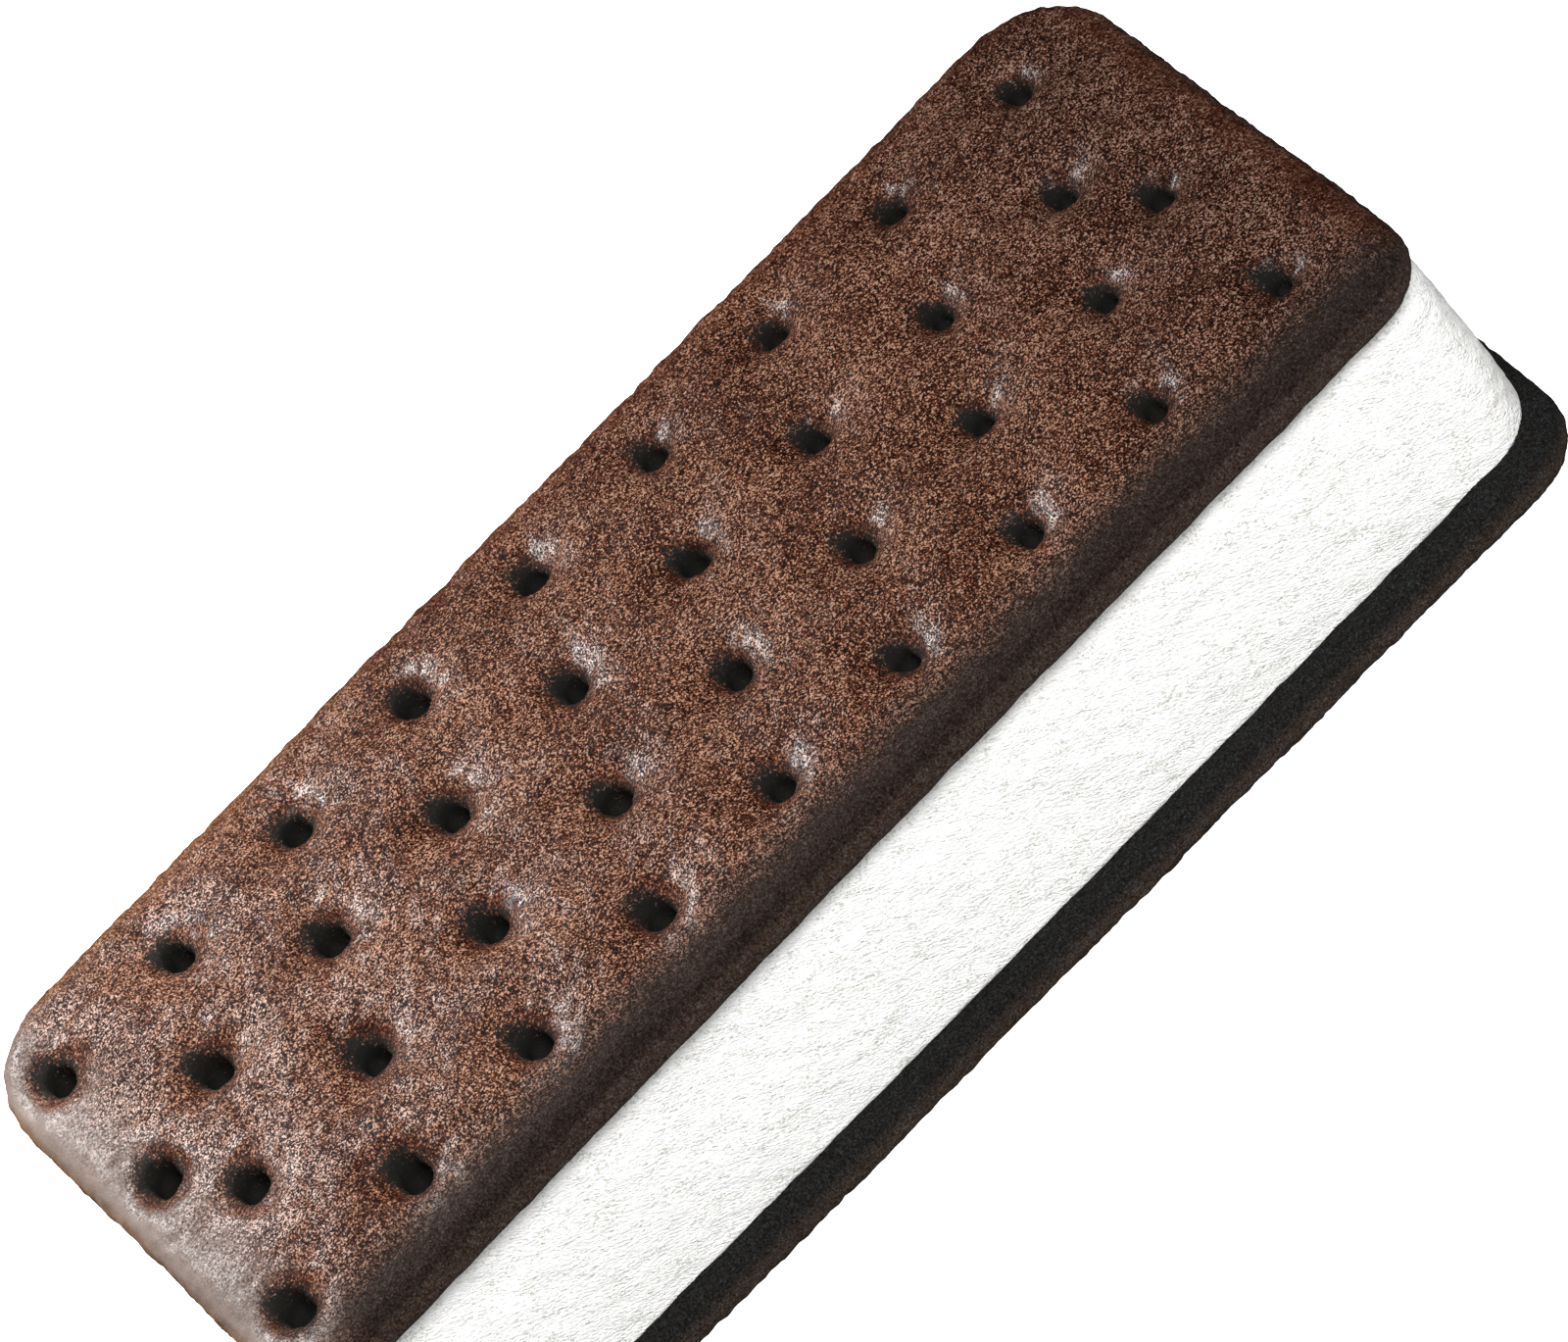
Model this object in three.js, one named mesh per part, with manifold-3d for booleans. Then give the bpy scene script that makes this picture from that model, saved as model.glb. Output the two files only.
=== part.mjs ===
// An ice cream sandwich: a block of ice cream between two docked chocolate wafers.
//
// Millimetres, +Z up. X runs along the sandwich and Y across it, and it stands on z = 0 with
// its origin in the middle of its footprint. "Far" is the +Y side and "near" the -Y side.

import * as THREE from 'three';
import { mergeVertices } from 'three/addons/utils/BufferGeometryUtils.js';
import Module from 'manifold-3d';

const wasm = await Module();
wasm.setup();

// ---------------------------------------------------------------- driving dimensions

const SANDWICH_HEIGHT = 29;

// One wafer. Its baked face is rounded off generously, its ice cream face hardly at all.
const WAFER_LENGTH = 120;
const WAFER_WIDTH = 54;
const WAFER_THICKNESS = 4.6;
const BAKED_EDGE_RADIUS = 2.5;
const INNER_EDGE_RADIUS = 0.8;
const WAFER_CORNERS = { rightFar: 8.7, rightNear: 5.8, leftFar: 8.1, leftNear: 7 };
const BAKED_EDGE_STEPS = 4;
const INNER_EDGE_STEPS = 2;
const CORNER_STATIONS = [4, 6, 8.7]; // how far in from an end a flat wafer's corners get points
const LINE_CLEARANCE = 1.3; // least distance between a line of points and the next

// How the pieces sit on each other.
const LOWER_WAFER_SHIFT = 1.4; // the lower wafer lies this much further right
const LOWER_WAFER_TURN = 0.007; // radians that it is out of line, its right end nearer
const UPPER_WAFER_TURN = 0.0052; // and the upper wafer the other way
const UPPER_WAFER_BACK = 0.1; // how much further back the upper wafer lies
const LEFT_END_DROOP = 0.66; // the upper wafer's left end sinks by this much
const TOUCH_GAP = 0.3; // left free between the ice cream and each wafer

// The ice cream block.
const CREAM_LENGTH = 118.4;
const CREAM_WIDTH = 48.8;
const CREAM_CENTRE_X = 0.2;
const CREAM_CORNER_RADIUS = 5.5;
const CREAM_BULGE = 0.35; // the walls swell by this much at half height
const CREAM_RIPPLE = 0.22; // and wander in and out by this much along their length
const CREAM_WAVES = { short: 8.3, long: 21, across: 30 }; // millimetres to each radian
const CREAM_LEAN = 2.1; // radians that the short waves shift by from the foot to the top
const CREAM_LEVELS = 6;
const CREAM_SPACING = 5;
const CREAM_CORNER_STEPS = 6;

// The docking holes: four rows, each starting a third of a pitch further left than the row
// before it, apart from the last, and single holes near the ends.
const HOLE_PITCH = 13.28;
const ROW_SPACING = 12.08;
const FIRST_HOLE = { x: 50.9, y: 17.53 };
const HOLE_ROWS = [
  { holes: 8, thirds: 0 },
  { holes: 8, thirds: 1 },
  { holes: 8, thirds: 2 },
  { holes: 9, thirds: 0 },
];
const END_HOLES = [
  { x: 50.8, y: -1.8 },
  { x: -55.1, y: 1.35 },
  { x: -55.2, y: 18 },
];
const PATTERN_TURN = 0.0107; // radians: the whole pattern is stamped slightly askew
const PATTERN_BOW = 1.05; // and the rows bow out to the far side at mid length

// One docking hole: a straight pit at the foot of a dimple that the pin dragged in with it.
const PIT_RADIUS = 1.45;
const PIT_DEPTH = 3.1;
const DIMPLE_RADIUS = 3.5;
const DIMPLE_DEPTH = 1.2;
const PIT_TAPER = 0.2; // how much less the pit's radius is at its foot
const HOLE_STRETCH = 1.16; // holes are this much longer across the wafer, and narrower along it
const FLARE_WIDTH = 2;
const HOLE_SIDES = 12;

// The baked face rises inside its rim, sinks towards each hole and is a little uneven.
const PUFF_HEIGHT = 0.8;
const PUFF_REACH = 7; // the rise takes this much of the face, inside the rounded edge
const PILLOW_DEPTH = 0.5;
const PILLOW_REACH = HOLE_PITCH / 2;
const UNEVENNESS = 0.12;
const UNEVEN_WAVES = { first: { x: 7.1, y: 9.7 }, second: { x: 12.3, y: -6.1 } }; // mm to a radian

// ---------------------------------------------------------------- small helpers

const FULL_TURN = 2 * Math.PI;

// Distances in from a rounded edge at which a quarter circle of this radius gets a point,
// from the edge itself to where the round meets the face.
function edgeInsets(radius, steps) {
  const insets = [];
  for (let i = 0; i <= steps; i += 1) {
    insets.push(radius * (1 - Math.cos((i / steps) * (Math.PI / 2))));
  }
  return insets;
}

// How far a rounded edge lies below its face, at a distance in from the outline.
function edgeDrop(radius, distance) {
  const short = Math.max(radius - distance, 0);
  return radius - Math.sqrt(Math.max(radius * radius - short * short, 0));
}

// A closed geometry as a solid for joining and cutting.
function toSolid(geometry) {
  const bare = geometry.clone();
  bare.deleteAttribute('normal');
  bare.deleteAttribute('uv');
  const merged = mergeVertices(bare);
  const mesh = new wasm.Mesh({
    numProp: 3,
    vertProperties: new Float32Array(merged.attributes.position.array),
    triVerts: new Uint32Array(merged.index.array),
  });
  return new wasm.Manifold(mesh);
}

// The solid back as a geometry with flat faces.
function toGeometry(solid) {
  const mesh = solid.getMesh();
  const geometry = new THREE.BufferGeometry();
  geometry.setAttribute('position', new THREE.BufferAttribute(mesh.vertProperties, 3));
  geometry.setIndex(new THREE.BufferAttribute(mesh.triVerts, 1));
  const faceted = geometry.toNonIndexed();
  faceted.computeVertexNormals();
  return faceted;
}

// ---------------------------------------------------------------- the wafer's plan outline

const HALF_LENGTH = WAFER_LENGTH / 2;
const HALF_WIDTH = WAFER_WIDTH / 2;

// A wafer that is to be turned over has its far side at -Y until then.
function cornerRadius(x, y, { farSide }) {
  const end = x > 0 ? 'right' : 'left';
  return WAFER_CORNERS[end + (y * farSide > 0 ? 'Far' : 'Near')];
}

// Half the wafer's width at x, on the side that y is on.
function halfWidthAt(x, y, shape) {
  const radius = cornerRadius(x, y, shape);
  const intoCorner = Math.max(Math.abs(x) - (HALF_LENGTH - radius), 0);
  return HALF_WIDTH - radius + Math.sqrt(Math.max(radius * radius - intoCorner * intoCorner, 0));
}

// How far a point of the plan lies in from the outline.
function distanceIn(x, y, shape) {
  const radius = cornerRadius(x, y, shape);
  const alongX = Math.abs(x) - (HALF_LENGTH - radius);
  const alongY = Math.abs(y) - (HALF_WIDTH - radius);
  const outside = Math.hypot(Math.max(alongX, 0), Math.max(alongY, 0));
  return radius - outside - Math.min(Math.max(alongX, alongY), 0);
}

// ---------------------------------------------------------------- the docking pattern

function holeCentres() {
  const centres = HOLE_ROWS.flatMap(({ holes, thirds }, row) =>
    Array.from({ length: holes }, (_, i) => {
      const x = FIRST_HOLE.x - (i + thirds / 3) * HOLE_PITCH;
      const bow = PATTERN_BOW * (1 - (x / HALF_LENGTH) ** 2);
      const y = FIRST_HOLE.y - row * ROW_SPACING + bow;
      return { x: x - PATTERN_TURN * y, y: y + PATTERN_TURN * x };
    }),
  );
  return [...centres, ...END_HOLES];
}

const HOLES = holeCentres();

function distanceToHole(x, y) {
  return Math.min(...HOLES.map((hole) => Math.hypot(x - hole.x, y - hole.y)));
}

// ---------------------------------------------------------------- the wafer's baked face

// How far a wafer with this droop has sunk at x, towards its left end.
function droopAt(x, droop) {
  return droop * Math.max(-x / HALF_LENGTH, 0) ** 3;
}

// How far the puffed, uneven face lies below the highest point that it may reach.
function hollowAt(x, y, shape) {
  const inside = distanceIn(x, y, shape);
  const risen = THREE.MathUtils.smoothstep(inside - BAKED_EDGE_RADIUS, 0, PUFF_REACH);
  const pulledDown = 1 - THREE.MathUtils.smoothstep(distanceToHole(x, y), 0, PILLOW_REACH);
  const { first, second } = UNEVEN_WAVES;
  const uneven = Math.sin(x / first.x + y / first.y) * Math.cos(x / second.x + y / second.y);
  const relief = PILLOW_DEPTH * pulledDown + UNEVENNESS * (1 + uneven);
  return PUFF_HEIGHT * (1 - risen) + relief * Math.min(inside / BAKED_EDGE_RADIUS, 1);
}

// The height of the baked face over the ice cream face, away from the rounded edges.
function faceAt(x, y, shape) {
  return WAFER_THICKNESS - (shape.puffed ? hollowAt(x, y, shape) : 0) - droopAt(x, shape.droop);
}

// ---------------------------------------------------------------- the wafer

// Lines of points across a face, `spacing` apart, of which one runs through `start`.
function linesBetweenEdges(inner, start, spacing) {
  const lines = [];
  const first = start + Math.floor((inner - start) / spacing) * spacing;
  for (let at = first; at > -inner; at -= spacing) {
    if (inner - Math.abs(at) > LINE_CLEARANCE) lines.push(at);
  }
  return lines;
}

// On a puffed face the lines are a third of the hole spacing apart and one runs through each
// hole, so that every hole has the same few points round it. A flat face has its lines
// between the holes, and a few more near the ends, which the corners take their form from.
function faceLines({ puffed }) {
  const innerX = HALF_LENGTH - BAKED_EDGE_RADIUS;
  const innerY = HALF_WIDTH - BAKED_EDGE_RADIUS;
  if (puffed) {
    return {
      stations: linesBetweenEdges(innerX, FIRST_HOLE.x, HOLE_PITCH / 3),
      rows: linesBetweenEdges(innerY, FIRST_HOLE.y, ROW_SPACING / 3),
    };
  }
  const nearEnds = CORNER_STATIONS.map((inset) => HALF_LENGTH - inset);
  const middle = linesBetweenEdges(nearEnds.at(-1), FIRST_HOLE.x + HOLE_PITCH / 2, HOLE_PITCH);
  return {
    stations: [...nearEnds, ...middle, ...nearEnds.map((x) => -x).reverse()],
    rows: linesBetweenEdges(innerY, FIRST_HOLE.y + ROW_SPACING / 2, ROW_SPACING),
  };
}

// From the one edge to the other: lines close together over the rounded edges, then `between`.
function linesOfPoints(half, insets, between) {
  const edge = insets.map((inset) => half - inset);
  return [...edge, ...between, ...edge.map((at) => -at).reverse()];
}

// A straight bar with the wafer's cross-section, whose ends are then drawn in to the plan
// outline and rounded off. Its baked face is up and its ice cream face is on z = 0.
function waferBlank(shape) {
  const insets = edgeInsets(BAKED_EDGE_RADIUS, BAKED_EDGE_STEPS);
  const innerInsets = edgeInsets(INNER_EDGE_RADIUS, INNER_EDGE_STEPS);
  const innerRows = innerInsets.map((inset) => HALF_WIDTH - inset);
  const face = faceLines(shape);
  const stations = linesOfPoints(HALF_LENGTH, insets, face.stations).reverse();
  const bakedRows = linesOfPoints(HALF_WIDTH, insets, face.rows);

  const section = new THREE.Shape([
    ...bakedRows.map((y) => new THREE.Vector2(y, WAFER_THICKNESS)),
    ...innerRows.map((y) => new THREE.Vector2(-y, 0)),
    ...innerRows.toReversed().map((y) => new THREE.Vector2(y, 0)),
  ]);
  const steps = stations.length - 1;
  const bar = new THREE.ExtrudeGeometry(section, { depth: 1, steps, bevelEnabled: false });

  const points = bar.attributes.position;
  for (let i = 0; i < points.count; i += 1) {
    const x = stations[Math.round(points.getZ(i) * steps)];
    const y = points.getX(i) * (halfWidthAt(x, points.getX(i), shape) / HALF_WIDTH);
    const onBakedFace = points.getY(i) > 0;
    const distance = distanceIn(x, y, shape);
    const innerFace = edgeDrop(INNER_EDGE_RADIUS, distance) - droopAt(x, shape.droop);
    const bakedFace = faceAt(x, y, shape) - edgeDrop(BAKED_EDGE_RADIUS, distance);
    points.setXYZ(i, x, y, onBakedFace ? bakedFace : innerFace);
  }
  return bar;
}

// What one docking pin leaves, as a turned tool: the pit, its dimple and a flare above the
// face, so that the dimple runs out in the face whether that is a little high or low there.
function dockingTool() {
  const shoulder = { radius: (PIT_RADIUS + DIMPLE_RADIUS) / 2, depth: DIMPLE_DEPTH / 3 };
  const slope = shoulder.depth / (DIMPLE_RADIUS - shoulder.radius);
  const profile = [
    new THREE.Vector2(0, -PIT_DEPTH),
    new THREE.Vector2(PIT_RADIUS - PIT_TAPER, -PIT_DEPTH),
    new THREE.Vector2(PIT_RADIUS, -DIMPLE_DEPTH),
    new THREE.Vector2(shoulder.radius, -shoulder.depth),
    new THREE.Vector2(DIMPLE_RADIUS + FLARE_WIDTH, slope * FLARE_WIDTH),
    new THREE.Vector2(0, slope * FLARE_WIDTH),
  ];
  const turned = new THREE.LatheGeometry(profile, HOLE_SIDES).rotateX(Math.PI / 2);
  return turned.scale(1 / HOLE_STRETCH, HOLE_STRETCH, 1);
}

// A wafer, baked face up. `puffed` gives it the relief, `droop` sinks its left end, and
// `farSide` is 1, or -1 if it is to be turned over.
function waferGeometry(shape) {
  const tool = dockingTool();
  const tools = HOLES.map(({ x, y }) => toSolid(tool.clone().translate(x, y, faceAt(x, y, shape))));
  return toGeometry(tools.reduce((wafer, cut) => wafer.subtract(cut), toSolid(waferBlank(shape))));
}

// ---------------------------------------------------------------- the ice cream

// Points round a rounded rectangle, counter-clockwise, `spacing` apart on the straights.
function creamOutline(spacing, cornerSteps) {
  const centreX = CREAM_LENGTH / 2 - CREAM_CORNER_RADIUS;
  const centreY = CREAM_WIDTH / 2 - CREAM_CORNER_RADIUS;
  const points = [];
  for (let corner = 0; corner < 4; corner += 1) {
    const atRight = corner === 0 || corner === 3;
    const atFar = corner < 2;
    for (let i = 0; i <= cornerSteps; i += 1) {
      const angle = (corner + i / cornerSteps) * (FULL_TURN / 4);
      const x = (atRight ? centreX : -centreX) + CREAM_CORNER_RADIUS * Math.cos(angle);
      const y = (atFar ? centreY : -centreY) + CREAM_CORNER_RADIUS * Math.sin(angle);
      points.push(new THREE.Vector2(x, y));
    }
    const straight = corner % 2 === 0 ? 2 * centreX : 2 * centreY;
    const along = (corner + 1) * (FULL_TURN / 4);
    const last = points.at(-1);
    for (let run = spacing; run < straight - spacing / 2; run += spacing) {
      points.push(new THREE.Vector2(last.x - Math.sin(along) * run, last.y + Math.cos(along) * run));
    }
  }
  return points;
}

function creamGeometry() {
  const height = SANDWICH_HEIGHT - 2 * (WAFER_THICKNESS + TOUCH_GAP);
  const outline = new THREE.Shape(creamOutline(CREAM_SPACING, CREAM_CORNER_STEPS));
  const block = new THREE.ExtrudeGeometry(outline, {
    depth: height,
    steps: CREAM_LEVELS,
    bevelEnabled: false,
  });

  const points = block.attributes.position;
  for (let i = 0; i < points.count; i += 1) {
    const x = points.getX(i);
    const y = points.getY(i);
    const up = points.getZ(i) / height;
    const swell = CREAM_BULGE * Math.sin(Math.PI * up);
    const shortWave = Math.sin(x / CREAM_WAVES.short + up * CREAM_LEAN);
    const wander = CREAM_RIPPLE * shortWave * Math.sin(x / CREAM_WAVES.long + y / CREAM_WAVES.across);
    const grow = 1 + (swell + wander) / (CREAM_WIDTH / 2);
    points.setXYZ(i, x + CREAM_CENTRE_X, y * grow, points.getZ(i) - droopAt(x, LEFT_END_DROOP) * up);
  }
  return block.translate(0, 0, WAFER_THICKNESS + TOUCH_GAP);
}

// ---------------------------------------------------------------- the sandwich

const chocolate = new THREE.MeshStandardMaterial({ color: 0x5f4032, roughness: 0.75, metalness: 0 });
const darkChocolate = new THREE.MeshStandardMaterial({ color: 0x4a3228, roughness: 0.8, metalness: 0 });
const vanilla = new THREE.MeshStandardMaterial({ color: 0xf6f3ea, roughness: 0.55, metalness: 0 });

function waferTop() {
  const geometry = waferGeometry({ puffed: true, droop: LEFT_END_DROOP, farSide: 1 });
  const mesh = new THREE.Mesh(geometry, chocolate);
  mesh.name = 'wafer_top';
  mesh.rotation.z = UPPER_WAFER_TURN;
  mesh.position.set(-LOWER_WAFER_SHIFT / 2, UPPER_WAFER_BACK, SANDWICH_HEIGHT - WAFER_THICKNESS);
  return mesh;
}

function iceCream() {
  const mesh = new THREE.Mesh(creamGeometry(), vanilla);
  mesh.name = 'ice_cream';
  return mesh;
}

// The lower wafer is turned over, so its holes open downwards and its face rests flat.
function waferBottom() {
  const geometry = waferGeometry({ puffed: false, droop: 0, farSide: -1 });
  const mesh = new THREE.Mesh(geometry, darkChocolate);
  mesh.name = 'wafer_bottom';
  mesh.rotation.set(Math.PI, 0, LOWER_WAFER_TURN);
  mesh.position.set(LOWER_WAFER_SHIFT / 2, 0, WAFER_THICKNESS);
  return mesh;
}

const sandwich = new THREE.Group();
sandwich.add(waferTop(), iceCream(), waferBottom());

export default sandwich;
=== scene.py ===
"""An ice cream sandwich: two docked chocolate wafers round a block of vanilla ice cream.

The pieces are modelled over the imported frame, in metres, and each replaces its plain solid.
"""

import math
import random

import bmesh
import bpy
from mathutils import Matrix, Vector
from mathutils.kdtree import KDTree


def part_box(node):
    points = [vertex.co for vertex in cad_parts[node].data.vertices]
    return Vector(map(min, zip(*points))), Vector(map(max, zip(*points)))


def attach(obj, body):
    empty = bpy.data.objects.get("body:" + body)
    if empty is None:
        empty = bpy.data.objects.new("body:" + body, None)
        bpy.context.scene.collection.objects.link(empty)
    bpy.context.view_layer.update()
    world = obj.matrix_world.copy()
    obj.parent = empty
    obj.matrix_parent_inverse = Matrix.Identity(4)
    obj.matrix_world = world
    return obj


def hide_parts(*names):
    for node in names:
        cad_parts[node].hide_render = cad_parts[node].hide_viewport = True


bl_info = {
    "name": "Ice Cream Sandwich",
    "version": (1, 0, 0),
    "blender": (4, 5, 0),
    "location": "3D View > Sidebar > Sandwich",
    "description": "Bakes the wafers and freezes the block of an ice cream sandwich",
    "category": "Object",
}

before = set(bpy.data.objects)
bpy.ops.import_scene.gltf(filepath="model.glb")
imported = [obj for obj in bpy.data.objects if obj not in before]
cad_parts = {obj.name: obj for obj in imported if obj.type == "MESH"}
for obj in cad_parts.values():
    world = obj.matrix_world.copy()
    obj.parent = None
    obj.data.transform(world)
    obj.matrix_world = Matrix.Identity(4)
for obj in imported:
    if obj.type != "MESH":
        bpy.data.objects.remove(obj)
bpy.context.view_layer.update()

MM = 0.001
TOUCH = 0.01 * MM  # places that are closer than this are the same
BODY = "root"

UPPER_LOW, UPPER_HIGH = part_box("wafer_top")
LOWER_LOW, LOWER_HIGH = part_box("wafer_bottom")
CREAM_LOW, CREAM_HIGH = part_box("ice_cream")
UPPER_MIDDLE = (UPPER_LOW + UPPER_HIGH) / 2
LOWER_MIDDLE = (LOWER_LOW + LOWER_HIGH) / 2


# Settings that a user would change


class WaferSettings(bpy.types.PropertyGroup):
    """The baked wafers"""

    length: bpy.props.FloatProperty(
        name="Length", description="Length of a wafer",
        default=120 * MM, unit="LENGTH")
    width: bpy.props.FloatProperty(
        name="Width", description="Width of a wafer",
        default=54 * MM, unit="LENGTH")
    thickness: bpy.props.FloatProperty(
        name="Thickness", description="Thickness of a wafer",
        default=LOWER_HIGH.z - LOWER_LOW.z, unit="LENGTH")
    baked_edge: bpy.props.FloatProperty(
        name="Baked edge", description="Rounding of the rim of the baked face",
        default=2.5 * MM, unit="LENGTH")
    inner_edge: bpy.props.FloatProperty(
        name="Inner edge", description="Rounding of the rim that meets the ice cream",
        default=0.45 * MM, unit="LENGTH")
    puff: bpy.props.FloatProperty(
        name="Puff", description="How far the upper wafer's baked face rises inside its rim",
        default=0.8 * MM, unit="LENGTH")
    pressed_puff: bpy.props.FloatProperty(
        name="Pressed puff", description="The same on the lower wafer, which rests on that face",
        default=0.25 * MM, unit="LENGTH")
    droop: bpy.props.FloatProperty(
        name="Droop", description="How far the left end of the upper wafer hangs",
        default=0.66 * MM, unit="LENGTH")
    hole_pitch: bpy.props.FloatProperty(
        name="Hole pitch", description="Distance between docking holes along a row",
        default=13.28 * MM, unit="LENGTH")
    row_spacing: bpy.props.FloatProperty(
        name="Row spacing", description="Distance between rows of docking holes",
        default=12.08 * MM, unit="LENGTH")
    upper_turn: bpy.props.FloatProperty(
        name="Upper turn", description="How far the upper wafer is turned out of line",
        default=0.0052, unit="ROTATION")
    lower_turn: bpy.props.FloatProperty(
        name="Lower turn", description="How far the lower wafer is turned out of line",
        default=-0.007, unit="ROTATION")
    pit_radius: bpy.props.FloatProperty(
        name="Hole radius", description="Radius of a docking hole",
        default=1.42 * MM, unit="LENGTH")
    pit_stretch: bpy.props.FloatProperty(
        name="Hole stretch", description="How much longer a docking hole is across the wafer",
        default=1.16)
    pit_growth: bpy.props.FloatProperty(
        name="Hole growth", description="How much wider the holes are half a metre further left",
        default=1.9)
    pit_depth: bpy.props.FloatProperty(
        name="Hole depth", description="Depth of a docking hole below the baked face",
        default=3.6 * MM, unit="LENGTH")
    dimple_radius: bpy.props.FloatProperty(
        name="Dimple radius", description="How far the crust is drawn down round a hole",
        default=3.6 * MM, unit="LENGTH")
    dimple_depth: bpy.props.FloatProperty(
        name="Dimple depth", description="How deep the crust is drawn down at a hole's middle",
        default=2.0 * MM, unit="LENGTH")
    pillow_depth: bpy.props.FloatProperty(
        name="Pillow depth", description="How far the crust sinks at a hole between its pillows",
        default=0.65 * MM, unit="LENGTH")
    crust: bpy.props.FloatVectorProperty(
        name="Crust", description="Colour of the baked crust", subtype="COLOR",
        size=3, min=0, max=1, default=(0.0480, 0.0151, 0.0073))
    # darker than the upper crust: partly wet crust, partly painted shade
    damp_and_shaded_crust: bpy.props.FloatVectorProperty(
        name="Damp crust", description="Colour of the lower wafer", subtype="COLOR",
        size=3, min=0, max=1, default=(0.0255, 0.0165, 0.0125))


class CreamSettings(bpy.types.PropertyGroup):
    """The block of ice cream"""

    corner: bpy.props.FloatProperty(
        name="Corner", description="Radius of the block's upright corners",
        default=5.5 * MM, unit="LENGTH")
    brow: bpy.props.FloatProperty(
        name="Brow", description="Rounding of the block's upper edge below the wafer",
        default=3.1 * MM, unit="LENGTH")
    overlap: bpy.props.FloatProperty(
        name="Overlap", description="How far the block reaches into each wafer",
        default=0.45 * MM, unit="LENGTH")
    bulge: bpy.props.FloatProperty(
        name="Bulge", description="How far the sides swell at half height",
        default=0.35 * MM, unit="LENGTH")
    wrinkle: bpy.props.FloatProperty(
        name="Wrinkle", description="Depth of the torn wrinkles on the sides",
        default=0.22 * MM, unit="LENGTH")
    cream: bpy.props.FloatVectorProperty(
        name="Cream", description="Colour of the ice cream", subtype="COLOR",
        size=3, min=0, max=1, default=(0.97, 0.96, 0.94))


class StudioSettings(bpy.types.PropertyGroup):
    """The stage, the light and the camera"""

    floor_shade: bpy.props.FloatVectorProperty(
        name="Floor", description="Colour of the floor", subtype="COLOR",
        size=3, min=0, max=1, default=(0.86, 0.86, 0.86))
    floor_glow: bpy.props.FloatProperty(
        name="Floor glow", description="Light that comes through the translucent floor",
        default=1.5)
    key_power: bpy.props.FloatProperty(
        name="Key light", description="Power of the large soft light behind the left end",
        default=0.36, unit="POWER")
    low_power: bpy.props.FloatProperty(
        name="Low front light", description="Power of the wide light low in front",
        default=1.3, unit="POWER")
    high_power: bpy.props.FloatProperty(
        name="High front light", description="Power of the light above the camera",
        default=5.4, unit="POWER")


# Modelling helpers


def leave_edit_mode():
    if bpy.context.mode != "OBJECT":
        bpy.ops.object.mode_set(mode="OBJECT")


def pick(*pieces):
    """Selects these objects and nothing else, the first of them active."""
    leave_edit_mode()
    bpy.ops.object.select_all(action="DESELECT")
    for piece in pieces:
        piece.select_set(True)
    bpy.context.view_layer.objects.active = pieces[0]


def add_block(name, low, high):
    """A box between two corners, its place in its mesh."""
    leave_edit_mode()
    bpy.ops.object.select_all(action="DESELECT")
    bpy.ops.mesh.primitive_cube_add(size=1, location=(low + high) / 2, scale=high - low)
    bpy.ops.object.transform_apply(location=True, rotation=True, scale=True)
    block = bpy.context.active_object
    block.name = name
    block.data.name = name
    return block


def select_parts(piece, kind, wanted):
    """In edit mode, selects the parts of one kind, VERT, EDGE or FACE, that pass a test."""
    bpy.ops.mesh.select_mode(type=kind)
    bpy.ops.mesh.select_all(action="DESELECT")
    mesh = bmesh.from_edit_mesh(piece.data)
    parts = {"VERT": mesh.verts, "EDGE": mesh.edges, "FACE": mesh.faces}[kind]
    for part in parts:
        if wanted(part):
            part.select_set(True)
    mesh.select_flush_mode()
    bmesh.update_edit_mesh(piece.data)


def edge_middle(edge):
    return (edge.verts[0].co + edge.verts[1].co) / 2


def is_upright(edge):
    along = edge.verts[1].co - edge.verts[0].co
    return abs(along.z) > 0.99 * along.length


def lies_level_at(height):
    """A test for edges that lie at one height."""
    return lambda edge: all(abs(vert.co.z - height) < TOUCH for vert in edge.verts)


def round_corner(piece, place, radius, segments=14):
    """Rounds the upright edge nearest to a place, given as (x, y)."""
    spot = Vector(place)
    select_parts(
        piece, "EDGE",
        lambda edge: is_upright(edge) and (edge_middle(edge).xy - spot).length < TOUCH)
    bpy.ops.mesh.bevel(offset=radius, segments=segments, affect="EDGES", clamp_overlap=False)


def round_rim(piece, height, radius, segments):
    """Rounds all the edges that lie at one height."""
    select_parts(piece, "EDGE", lies_level_at(height))
    bpy.ops.mesh.bevel(offset=radius, segments=segments, affect="EDGES", clamp_overlap=False)


def apply_modifier(piece, kind, **settings):
    """Adds a modifier with these settings and applies it."""
    pick(piece)
    modifier = piece.modifiers.new(kind.lower(), kind)
    for setting, value in settings.items():
        setattr(modifier, setting, value)
    bpy.ops.object.modifier_apply(modifier=modifier.name)


def remesh(piece, voxel):
    apply_modifier(piece, "REMESH", mode="VOXEL", voxel_size=voxel)


def pull(shift, reach, falloff):
    """In edit mode, moves what is selected, and what lies within reach follows it."""
    bpy.ops.transform.translate(
        value=shift, use_proportional_edit=True, proportional_edit_falloff=falloff,
        proportional_size=reach)


def make_group(piece, name, weigh):
    """A vertex group whose weights come from a function of a vertex."""
    group = piece.vertex_groups.new(name=name)
    for vertex in piece.data.vertices:
        weight = weigh(vertex)
        if weight > 0:
            group.add([vertex.index], weight, "REPLACE")
    return group.name


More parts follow.
